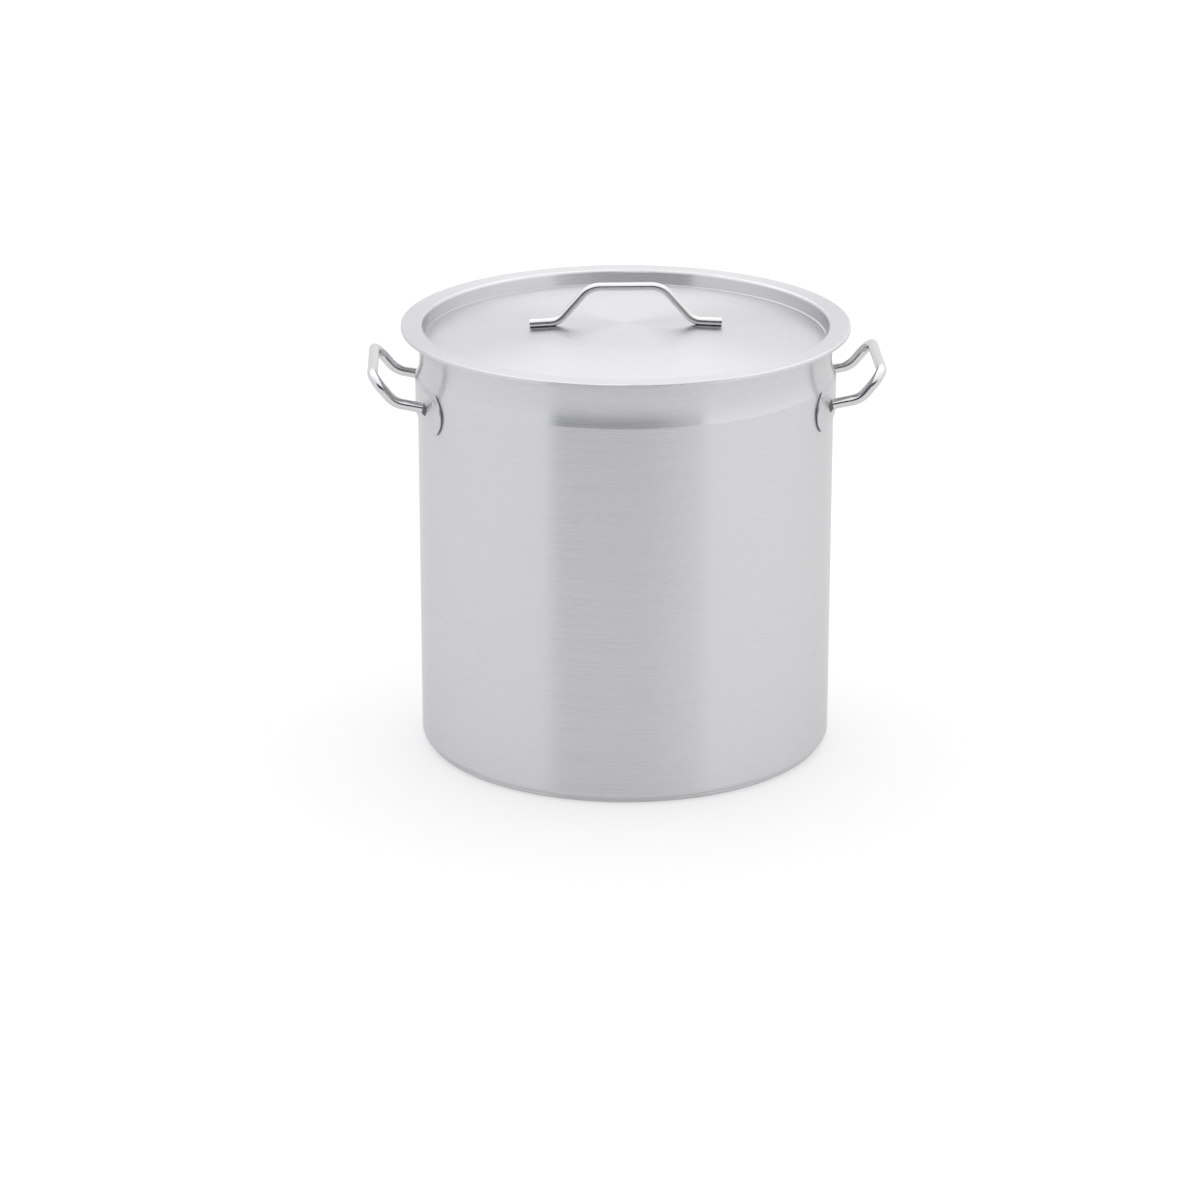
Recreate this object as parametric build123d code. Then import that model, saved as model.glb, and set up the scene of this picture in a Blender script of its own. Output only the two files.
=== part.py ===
from build123d import *
from math import asin, cos, degrees, radians, sin, sqrt, tan
import os

# Stock pot of about 50 litres with a lift-off lid.
# Millimetres, +Z up. The origin is the centre of the underside, and the side handles lie on the X axis.

# Vessel
POT_RADIUS = 200.0
POT_SHEET = 1.2
RIM_TOP = 416.0
BOTTOM_CORNER_RADIUS = 6.0
CREASE_HEIGHT = 370.5
NECK_LEAN_IN = 16.0
NECK_LEAN_OUT = 8.0
NECK_RADIUS = 55.0
RIM_FLARE_RADIUS = 5.0
RIM_RADIUS = 209.0

# Sandwich base under the vessel
BASE_THICKNESS = 4.0
BASE_RADIUS = 195.0
BASE_SHEET = 0.8
BASE_EDGE_RADIUS = 2.0

# Plates that carry the side handles
PLATE_THICKNESS = 2.2
PLATE_HEIGHT = 40.0
PLATE_LENGTH = 191.0
PLATE_END_BULGE = 12.0
PLATE_CORNER_RADIUS = 4.0
PLATE_EDGE_SLOPE = 4.0
PLATE_END_RADIUS = 1.2
DIMPLE_DIAMETER = 6.0
DIMPLE_DEPTH = 0.5
DIMPLE_INSET = 12.0
DIMPLE_SPACING = 23.0

# Side handles
SIDE_ROD = 10.0
LEG_SPACING = 114.0
LEG_ROOT_HEIGHT = 350.0
LEG_BEND_RADIUS = 22.0
LEG_BEND = (221.5, 355.5)
GRIP_LINE = (242.0, 380.5)
GRIP_CORNER_RADIUS = 16.0
WELD_WIDTH = 0.7
WELD_REACH = 0.9

# Lid
LID_SHEET = 1.0
LID_CLEARANCE = 0.3
LID_RADIUS = 215.3
LID_LIP_DROP = 3.0
LID_LIP_RADIUS = 0.8
LID_BEND_RADIUS = 2.5
DISH_DEPTH = 14.0
DISH_DOME_RISE = 12.4
DISH_DOME_RADIUS = 192.0
DISH_CORNER_RADIUS = 1.3
DISH_WALL_DRAFT = 8.0

# Lid handle
LID_ROD = 8.0
LID_HANDLE_LENGTH = 184.0
LID_HANDLE_RISE = 34.0
LID_FOOT_BEND = 64.5
LID_FOOT_BEND_RADIUS = 17.0
LID_GRIP_CORNER = 34.5
LID_GRIP_CORNER_RADIUS = 23.0
LID_FOOT_SEAT = 0.3

# Sizes that follow from the ones above
PLATE_RADIUS = POT_RADIUS + PLATE_THICKNESS
LID_TOP = RIM_TOP + LID_CLEARANCE + LID_SHEET
BEYOND = 20.0


def revolved_sheet(path, thickness):
    """Turn the middle line of a sheet's section about Z and give it its thickness."""
    outline = offset(path, amount=thickness / 2, side=Side.BOTH)
    section = make_face(outline)
    right_half = Pos(POT_RADIUS, RIM_TOP / 2) * Rectangle(2 * POT_RADIUS, 2 * RIM_TOP)
    return revolve(Plane.XZ * (section & right_half), Axis.Z)


def pot_shell():
    """The vessel: flat bottom, straight wall, a shallow neck above the crease, and a flared rim."""
    wall = POT_RADIUS - POT_SHEET / 2
    floor = BASE_THICKNESS + POT_SHEET / 2
    rim = RIM_TOP - POT_SHEET / 2
    corner_radius = BOTTOM_CORNER_RADIUS - POT_SHEET / 2
    body = FilletPolyline((0, floor), (wall, floor), (wall, CREASE_HEIGHT), radius=corner_radius)
    inwards = (-sin(radians(NECK_LEAN_IN)), cos(radians(NECK_LEAN_IN)))
    neck = JernArc(body @ 1, inwards, NECK_RADIUS, -(NECK_LEAN_IN + NECK_LEAN_OUT))
    neck_top = neck @ 1
    flare_corner = (neck_top.X + (rim - neck_top.Y) * tan(radians(NECK_LEAN_OUT)), rim)
    lip_end = (RIM_RADIUS - POT_SHEET / 2, rim)
    flare = FilletPolyline(neck_top, flare_corner, lip_end, radius=RIM_FLARE_RADIUS)
    return revolved_sheet(body + neck + flare, POT_SHEET)


def base_core():
    """The aluminium disc between the vessel's bottom and the cap."""
    height = BASE_THICKNESS - BASE_SHEET
    disc = Pos(0, 0, BASE_SHEET) * Cylinder(
        BASE_RADIUS - BASE_SHEET, height, align=(Align.CENTER, Align.CENTER, Align.MIN)
    )
    lower_rim = disc.edges().group_by(Axis.Z)[0]
    return fillet(lower_rim, BASE_EDGE_RADIUS - BASE_SHEET)


def base_cap():
    """The steel cup round the aluminium disc. Its flat underside carries the pot."""
    cup = Cylinder(BASE_RADIUS, BASE_THICKNESS, align=(Align.CENTER, Align.CENTER, Align.MIN))
    lower_rim = cup.edges().group_by(Axis.Z)[0]
    return fillet(lower_rim, BASE_EDGE_RADIUS) - base_core()


def plate_outline():
    """An oblong with bulging ends and rounded corners, laid out flat."""
    tip, top = PLATE_LENGTH / 2, PLATE_HEIGHT / 2
    corner = tip - PLATE_END_BULGE
    edges = [
        Line((-corner, top), (corner, top)),
        ThreePointArc((corner, top), (tip, 0), (corner, -top)),
        Line((corner, -top), (-corner, -top)),
        ThreePointArc((-corner, -top), (-tip, 0), (-corner, top)),
    ]
    outline = make_face(edges)
    return fillet(outline.vertices(), PLATE_CORNER_RADIUS)


def plate_ring():
    """A ring of the plate's thickness, whose upper and lower edges slope down to the vessel's wall."""
    half = PLATE_HEIGHT / 2
    section = Polygon(
        (POT_RADIUS, LEG_ROOT_HEIGHT - half),
        (PLATE_RADIUS, LEG_ROOT_HEIGHT - half + PLATE_EDGE_SLOPE),
        (PLATE_RADIUS, LEG_ROOT_HEIGHT + half - PLATE_EDGE_SLOPE),
        (POT_RADIUS, LEG_ROOT_HEIGHT + half),
        align=None,
    )
    return revolve(Plane.XZ * section, Axis.Z)


def handle_plate():
    """The right-hand plate: its outline curved to the vessel's wall, with rounded ends."""
    plane = Plane.YZ.offset(POT_RADIUS - BEYOND * 2)
    blank = extrude(plane * Pos(0, LEG_ROOT_HEIGHT) * plate_outline(), BEYOND * 3)
    plate = (blank & plate_ring()).solid()
    outer_face = plate.faces().sort_by(SortBy.AREA)[-1]
    end_edges = [edge for edge in outer_face.edges() if abs(edge.center().Y) > PLATE_LENGTH / 3]
    plate = fillet(end_edges, PLATE_END_RADIUS)
    return plate - dimples()


def dimples():
    """Balls that press the four shallow spot-weld marks into the plate's outer face."""
    radius = (DIMPLE_DIAMETER**2 / 4 + DIMPLE_DEPTH**2) / (2 * DIMPLE_DEPTH)
    distance = PLATE_RADIUS - DIMPLE_DEPTH + radius
    angle = degrees(asin((PLATE_LENGTH / 2 - DIMPLE_INSET) / PLATE_RADIUS))
    heights = (LEG_ROOT_HEIGHT - DIMPLE_SPACING / 2, LEG_ROOT_HEIGHT + DIMPLE_SPACING / 2)
    return [
        Rot(0, 0, side * angle) * Pos(distance, 0, height) * Sphere(radius)
        for side in (-1, 1)
        for height in heights
    ]


def leg_root(side):
    """Where a leg's axis meets the plate's outer face."""
    half = LEG_SPACING / 2
    return Vector(sqrt(PLATE_RADIUS**2 - half**2), side * half, LEG_ROOT_HEIGHT)


def leg_direction():
    """The direction in which both legs leave the plate, outwards and slightly up."""
    root = leg_root(1)
    return Vector(LEG_BEND[0] - root.X, 0, LEG_BEND[1] - root.Z).normalized()


def side_handle():
    """The right-hand rod: two legs that bend up to one straight grip bar, cut to fit the plate."""
    half = LEG_SPACING / 2
    near = [leg_root(-1) - leg_direction() * BEYOND, (LEG_BEND[0], -half, LEG_BEND[1])]
    far = [(LEG_BEND[0], half, LEG_BEND[1]), leg_root(1) - leg_direction() * BEYOND]
    grip = [(GRIP_LINE[0], side * half, GRIP_LINE[1]) for side in (-1, 1)]
    radii = [LEG_BEND_RADIUS, GRIP_CORNER_RADIUS, GRIP_CORNER_RADIUS, LEG_BEND_RADIUS]
    path = FilletPolyline(*near, *grip, *far, radius=radii)
    rod = sweep(Plane(path @ 0, z_dir=path % 0) * Circle(SIDE_ROD / 2), path=path)
    return rod - Cylinder(PLATE_RADIUS, 2 * RIM_TOP)


def handle_welds():
    """A tapered weld bead round the root of each leg of the right-hand handle."""
    slope = WELD_WIDTH / WELD_REACH
    length = WELD_REACH + BEYOND / 4
    root_radius = SIDE_ROD / 2 + WELD_WIDTH + slope * BEYOND / 4
    beads = []
    for side in (-1, 1):
        start = leg_root(side) - leg_direction() * BEYOND / 4
        place = Plane(start, z_dir=leg_direction())
        cone = Cone(root_radius, SIDE_ROD / 2, length, align=(Align.CENTER, Align.CENTER, Align.MIN))
        bore = Cylinder(SIDE_ROD / 2, 3 * length)
        beads.append((place * (cone - bore)) - Cylinder(PLATE_RADIUS, 2 * RIM_TOP))
    return Compound(children=[bead.solid() for bead in beads])


def dome_radius():
    """The radius of the sphere that the lid's domed floor is part of."""
    return (DISH_DOME_RADIUS**2 + DISH_DOME_RISE**2) / (2 * DISH_DOME_RISE)


def dome_top():
    """The height of the middle of the domed floor, on its upper face."""
    return LID_TOP - DISH_DEPTH + DISH_DOME_RISE


def lid_pan():
    """The lid: domed floor, dish wall, flat flange and a short lip turned down at its edge."""
    fall = asin(DISH_DOME_RADIUS / dome_radius())
    climb = radians(90 - DISH_WALL_DRAFT)
    middle_radius = dome_radius() - LID_SHEET / 2
    dome_drop = middle_radius * (1 - cos(fall))
    corner_height = DISH_CORNER_RADIUS * (cos(fall) - cos(climb))
    bend_height = LID_BEND_RADIUS * (1 - cos(climb))
    wall_height = DISH_DEPTH - DISH_DOME_RISE + dome_drop - corner_height - bend_height
    dome = JernArc((0, dome_top() - LID_SHEET / 2), (1, 0), middle_radius, -degrees(fall))
    corner = JernArc(dome @ 1, dome % 1, DISH_CORNER_RADIUS, degrees(fall + climb))
    wall = PolarLine(corner @ 1, wall_height / sin(climb), degrees(climb))
    bend = JernArc(wall @ 1, wall % 1, LID_BEND_RADIUS, -degrees(climb))
    flange_end = (LID_RADIUS - LID_SHEET / 2 - LID_LIP_RADIUS, (bend @ 1).Y)
    flange = Line(bend @ 1, flange_end)
    lip = JernArc(flange @ 1, flange % 1, LID_LIP_RADIUS, -90)
    edge = Line(lip @ 1, (lip @ 1) - (0, LID_LIP_DROP - LID_LIP_RADIUS))
    return revolved_sheet(dome + corner + wall + bend + flange + lip + edge, LID_SHEET)


def lid_handle():
    """The lid's bent rod. Its feet follow the dome and are seated slightly into it where they are welded."""
    axis_radius = dome_radius() + LID_ROD / 2 - LID_FOOT_SEAT
    centre_height = dome_top() - dome_radius()
    foot_end = LID_HANDLE_LENGTH / 2
    end_height = centre_height + sqrt(axis_radius**2 - foot_end**2)
    bend_height = centre_height + sqrt(axis_radius**2 - LID_FOOT_BEND**2)
    grip_height = bend_height + LID_HANDLE_RISE
    right = [(LID_GRIP_CORNER, 0, grip_height), (LID_FOOT_BEND, 0, bend_height), (foot_end, 0, end_height)]
    left = [(-x, y, z) for x, y, z in reversed(right)]
    radii = [LID_FOOT_BEND_RADIUS, LID_GRIP_CORNER_RADIUS, LID_GRIP_CORNER_RADIUS, LID_FOOT_BEND_RADIUS]
    path = FilletPolyline(*left, *right, radius=radii)
    rod = sweep(Plane(path @ 0, z_dir=path % 0) * Circle(LID_ROD / 2), path=path)
    return rod - Pos(0, 0, centre_height) * Sphere(dome_radius())


def left_hand(shape):
    """The same piece on the opposite side of the pot."""
    return Rot(0, 0, 180) * shape


def write(name, shape):
    """Save one piece under its node name."""
    shape.label = name
    export_step(shape, os.path.join("parts", name + ".step"))


os.makedirs("parts", exist_ok=True)
write("pot_shell", pot_shell())
write("base_core", base_core())
write("base_cap", base_cap())
write("lid_pan", lid_pan())
write("lid_handle", lid_handle())
pairs = (("handle_plate", handle_plate), ("side_handle", side_handle), ("handle_welds", handle_welds))
for name, make in pairs:
    write(name + "_right", make())
    write(name + "_left", left_hand(make()))
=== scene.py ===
"""Looks of the stock pot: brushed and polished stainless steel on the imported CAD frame. Metres, +Z up."""

from math import cos, radians, sin

import bpy
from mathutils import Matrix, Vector

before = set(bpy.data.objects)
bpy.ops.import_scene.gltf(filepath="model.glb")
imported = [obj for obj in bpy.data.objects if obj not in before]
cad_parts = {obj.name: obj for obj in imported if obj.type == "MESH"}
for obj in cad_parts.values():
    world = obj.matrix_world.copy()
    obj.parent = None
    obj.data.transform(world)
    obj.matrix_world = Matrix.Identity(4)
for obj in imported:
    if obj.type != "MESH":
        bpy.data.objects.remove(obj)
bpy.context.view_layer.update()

# Camera: a long lens a few metres away, looking down at the pot, which sits high and right of the middle.
VIEW_CENTRE = Vector((0, 0, 0.2))
CAMERA_DISTANCE = 4.0
CAMERA_ELEVATION = 18.45
CAMERA_TURN = -2.2
CAMERA_LENS = 123.1
CAMERA_SENSOR = 36.0
AIM_LEFT = 0.0245
AIM_BELOW = 0.0614

# Studio
FLOOR_SIZE = 60.0
FLOOR_SHADE = 0.40
FLOOR_GLOW = 0.49
SKY_LOW_LEFT = (1.05, 1.06, 1.10)
SKY_LOW_RIGHT = (1.30, 1.28, 1.27)
SKY_HIGH_FRONT = (1.45, 1.45, 1.45)
SKY_HIGH_BACK = (1.90, 1.90, 1.88)
SKY_LOW_ANGLE = 12.0
SKY_HIGH_ANGLE = 65.0
SKY_SIDE_BLEND = 0.8
SKY_BACK_BLEND = 0.4
FLAG_DISTANCE = 6.0
FLAG_TOP = 3.6
FLAG_SEGMENTS = 48
FLAG_LEFT = -41.5
FLAG_FADE = 5.0
FLAG_RIGHT = 40.0
FLAG_DARK = (0.05, 0.06, 0.09)
FLAG_PALE = (0.66, 0.66, 0.68)

# Steel
STEEL = (0.605, 0.605, 0.617)
ROD_STEEL = (0.600, 0.600, 0.600)
# Weld colour is painted shade: about a fifth as bright as the other steel, standing in for the shade where
# the rod ends meet the handle plates.
WELD_STEEL_PAINTED_SHADE = (0.120, 0.118, 0.116)
ALUMINIUM = (0.750, 0.750, 0.760)
EDGE_TINT = (0.850, 0.850, 0.850, 1.0)
GRAIN_LOW = 0.40
GRAIN_HIGH = 0.60
BRUSHED_ROTATION = 0.25

# Grain, in lines per metre along and across the brush, and patch sizes in metres
BRUSH_ALONG = 9.0
BRUSH_ACROSS = 30000.0
ROD_PATCH = 0.004
WELD_PATCH = 0.0015
CORE_PATCH = 0.010


class Nodes:
    """Adds shader nodes to a tree and links them."""

    def __init__(self, tree):
        self.tree = tree
        tree.nodes.clear()

    def add(self, kind, **settings):
        node = self.tree.nodes.new(kind)
        for name, value in settings.items():
            setattr(node, name, value)
        return node

    def feed(self, socket, value):
        """Link an output into a socket, or set the socket's own value."""
        if isinstance(value, bpy.types.NodeSocket):
            self.tree.links.new(value, socket)
        else:
            socket.default_value = value

    def math(self, operation, *inputs):
        node = self.add("ShaderNodeMath", operation=operation)
        for socket, value in zip(node.inputs, inputs):
            self.feed(socket, value)
        return node.outputs[0]

    def smooth_step(self, value, start, end, low=0.0, high=1.0):
        """Low up to start, high from end, and a soft step between them."""
        node = self.add("ShaderNodeMapRange", interpolation_type="SMOOTHSTEP")
        names = ("Value", "From Min", "From Max", "To Min", "To Max")
        for name, item in zip(names, (value, start, end, low, high)):
            self.feed(node.inputs[name], item)
        return node.outputs["Result"]

    def mix_colour(self, factor, first, second):
        node = self.add("ShaderNodeMix", data_type="RGBA")
        self.feed(node.inputs[0], factor)
        self.feed(node.inputs[6], first)
        self.feed(node.inputs[7], second)
        return node.outputs[2]

    def position(self):
        """X, Y and Z in the object's own frame, which is the CAD frame."""
        place = self.add("ShaderNodeTexCoord")
        split = self.add("ShaderNodeSeparateXYZ")
        self.feed(split.inputs[0], place.outputs["Object"])
        return split.outputs["X"], split.outputs["Y"], split.outputs["Z"]

    def radius(self, x, y):
        return self.math("SQRT", self.math("ADD", self.math("MULTIPLY", x, x), self.math("MULTIPLY", y, y)))

    def vector(self, x, y, z):
        node = self.add("ShaderNodeCombineXYZ")
        for socket, value in zip(node.inputs, (x, y, z)):
            self.feed(socket, value)
        return node.outputs[0]

    def noise(self, vector, detail=3.0):
        node = self.add("ShaderNodeTexNoise")
        node.inputs["Scale"].default_value = 1.0
        node.inputs["Detail"].default_value = detail
        self.feed(node.inputs["Vector"], vector)
        return node.outputs["Fac"]


def round_the_axis(nodes):
    """The direction in which the vessel was turned against the brush: level, round Z."""
    x, y, _ = nodes.position()
    return nodes.vector(nodes.math("MULTIPLY", y, -1.0), x, 0.0)


def turned_grain(nodes):
    """Fine lines that run round Z, on the wall and on the lid alike."""
    x, y, z = nodes.position()
    depth = nodes.math("ADD", nodes.radius(x, y), z)
    stretched = [nodes.math("MULTIPLY", value, BRUSH_ALONG) for value in (x, y)]
    return nodes.noise(nodes.vector(*stretched, nodes.math("MULTIPLY", depth, BRUSH_ACROSS)))


def cloud(nodes, size):
    """Soft patches about as wide as the given size in metres."""
    x, y, z = nodes.position()
    return nodes.noise(nodes.vector(*[nodes.math("DIVIDE", value, size) for value in (x, y, z)]), detail=2.0)


def metal(name, colour, smooth, rough, grain, contrast, depth, anisotropy=0.0):
    """A metal whose grain moves its colour, its roughness and, through bump, its surface."""
    material = bpy.data.materials.new(name)
    material.use_nodes = True
    nodes = Nodes(material.node_tree)
    output = nodes.add("ShaderNodeOutputMaterial")
    shader = nodes.add("ShaderNodeBsdfPrincipled")
    nodes.feed(output.inputs["Surface"], shader.outputs["BSDF"])
    shader.inputs["Metallic"].default_value = 1.0
    shader.inputs["Specular Tint"].default_value = EDGE_TINT
    pattern = grain(nodes)
    dark = tuple(channel * (1 - contrast) for channel in colour) + (1.0,)
    light = tuple(channel * (1 + contrast) for channel in colour) + (1.0,)
    nodes.feed(shader.inputs["Base Color"], nodes.mix_colour(pattern, dark, light))
    nodes.feed(shader.inputs["Roughness"], nodes.smooth_step(pattern, GRAIN_LOW, GRAIN_HIGH, smooth, rough))
    if anisotropy:
        shader.inputs["Anisotropic"].default_value = anisotropy
        shader.inputs["Anisotropic Rotation"].default_value = BRUSHED_ROTATION
        nodes.feed(shader.inputs["Tangent"], round_the_axis(nodes))
    bump = nodes.add("ShaderNodeBump")
    bump.inputs["Distance"].default_value = depth
    nodes.feed(bump.inputs["Height"], pattern)
    nodes.feed(shader.inputs["Normal"], bump.outputs["Normal"])
    return material


def studio_sky():
    """A white room: brighter overhead, brightest above the back, and a little dimmer on the left."""
    world = bpy.data.worlds.new("studio")
    bpy.context.scene.world = world
    world.use_nodes = True
    nodes = Nodes(world.node_tree)
    output = nodes.add("ShaderNodeOutputWorld")
    background = nodes.add("ShaderNodeBackground")
    nodes.feed(output.inputs["Surface"], background.outputs[0])
    place = nodes.add("ShaderNodeTexCoord")
    split = nodes.add("ShaderNodeSeparateXYZ")
    nodes.feed(split.inputs[0], place.outputs["Generated"])
    sideways = nodes.smooth_step(split.outputs["X"], -SKY_SIDE_BLEND, SKY_SIDE_BLEND)
    low = nodes.mix_colour(sideways, SKY_LOW_LEFT + (1.0,), SKY_LOW_RIGHT + (1.0,))
    backwards = nodes.smooth_step(split.outputs["Y"], -SKY_BACK_BLEND, SKY_BACK_BLEND)
    high = nodes.mix_colour(backwards, SKY_HIGH_FRONT + (1.0,), SKY_HIGH_BACK + (1.0,))
    rise = nodes.smooth_step(split.outputs["Z"], sin(radians(SKY_LOW_ANGLE)), sin(radians(SKY_HIGH_ANGLE)))
    nodes.feed(background.inputs["Color"], nodes.mix_colour(rise, low, high))


def floor_material():
    """Plain matt white, lit a little from below, which keeps the shadows light."""
    material = bpy.data.materials.new("floor")
    material.use_nodes = True
    shader = material.node_tree.nodes["Principled BSDF"]
    shader.inputs["Base Color"].default_value = (FLOOR_SHADE, FLOOR_SHADE, FLOOR_SHADE, 1.0)
    shader.inputs["Roughness"].default_value = 1.0
    shader.inputs["Specular IOR Level"].default_value = 0.0
    shader.inputs["Emission Color"].default_value = (1.0, 1.0, 1.0, 1.0)
    shader.inputs["Emission Strength"].default_value = FLOOR_GLOW
    return material


def flag_material():
    """Dark, fading to a paler grey at the right-hand end."""
    material = bpy.data.materials.new("flag")
    material.use_nodes = True
    nodes = Nodes(material.node_tree)
    output = nodes.add("ShaderNodeOutputMaterial")
    glow = nodes.add("ShaderNodeEmission")
    nodes.feed(output.inputs["Surface"], glow.outputs[0])
    x, y, _ = nodes.position()
    turn = nodes.math("ARCTAN2", x, nodes.math("MULTIPLY", y, -1.0))
    fade = nodes.smooth_step(turn, radians(FLAG_FADE), radians(FLAG_RIGHT))
    nodes.feed(glow.inputs["Color"], nodes.mix_colour(fade, FLAG_DARK + (1.0,), FLAG_PALE + (1.0,)))
    return material


def stage_piece(name, points, faces, material):
    """A mesh that belongs to the studio and not to the pot."""
    mesh = bpy.data.meshes.new(name)
    mesh.from_pydata(points, [], faces)
    mesh.materials.append(material)
    piece = bpy.data.objects.new(name, mesh)
    bpy.context.scene.collection.objects.link(piece)
    return piece


def floor():
    half = FLOOR_SIZE / 2
    corners = [(-half, -half, 0), (half, -half, 0), (half, half, 0), (-half, half, 0)]
    stage_piece("floor", corners, [(0, 1, 2, 3)], floor_material())


def flag():
    """A dark card standing in an arc behind the camera, which the steel reflects as a soft dark stripe."""
    points = []
    for step in range(FLAG_SEGMENTS + 1):
        angle = radians(FLAG_LEFT + (FLAG_RIGHT - FLAG_LEFT) * step / FLAG_SEGMENTS)
        x, y = FLAG_DISTANCE * sin(angle), -FLAG_DISTANCE * cos(angle)
        points += [(x, y, 0.0), (x, y, FLAG_TOP)]
    faces = [(2 * step, 2 * step + 2, 2 * step + 3, 2 * step + 1) for step in range(FLAG_SEGMENTS)]
    card = stage_piece("flag", points, faces, flag_material())
    card.visible_camera = False


def camera():
    """A long lens at the viewing angle, aimed a little below and left of the pot's middle."""
    turn, rise = radians(CAMERA_TURN), radians(CAMERA_ELEVATION)
    back = Vector((sin(turn) * cos(rise), -cos(turn) * cos(rise), sin(rise)))
    right = Vector((cos(turn), sin(turn), 0))
    up = back.cross(right)
    data = bpy.data.cameras.new("camera")
    data.lens = CAMERA_LENS
    data.sensor_width = CAMERA_SENSOR
    stand = bpy.data.objects.new("camera", data)
    stand.location = VIEW_CENTRE + back * CAMERA_DISTANCE
    aim = VIEW_CENTRE - right * AIM_LEFT - up * AIM_BELOW
    stand.rotation_euler = (aim - stand.location).to_track_quat("-Z", "Y").to_euler()
    bpy.context.scene.collection.objects.link(stand)
    bpy.context.scene.camera = stand


def dress(material, *names):
    """Give CAD nodes a material."""
    for name in names:
        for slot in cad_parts[name].material_slots:
            slot.material = material


satin_steel = metal(
    "satin_steel", STEEL, smooth=0.24, rough=0.37,
    grain=turned_grain, contrast=0.004, depth=0.0000003, anisotropy=0.95,
)
rod_steel = metal(
    "rod_steel", ROD_STEEL, smooth=0.16, rough=0.20,
    grain=lambda nodes: cloud(nodes, ROD_PATCH), contrast=0.02, depth=0.000003,
)
# Painted shade: the weld beads get the very dark weld colour, for the shade in the corners where the rod
# ends meet the plates.
weld_steel_painted_shade = metal(
    "weld_steel_painted_shade", WELD_STEEL_PAINTED_SHADE, smooth=0.30, rough=0.45,
    grain=lambda nodes: cloud(nodes, WELD_PATCH), contrast=0.1, depth=0.0001,
)
core_metal = metal(
    "aluminium", ALUMINIUM, smooth=0.38, rough=0.42,
    grain=lambda nodes: cloud(nodes, CORE_PATCH), contrast=0.03, depth=0.00001,
)

dress(satin_steel, "pot_shell", "base_cap", "handle_plate_left", "handle_plate_right", "lid_pan")
dress(rod_steel, "side_handle_left", "side_handle_right", "lid_handle")
dress(weld_steel_painted_shade, "handle_welds_left", "handle_welds_right")
dress(core_metal, "base_core")

studio_sky()
floor()
flag()
camera()
bpy.context.scene.view_settings.view_transform = "Standard"
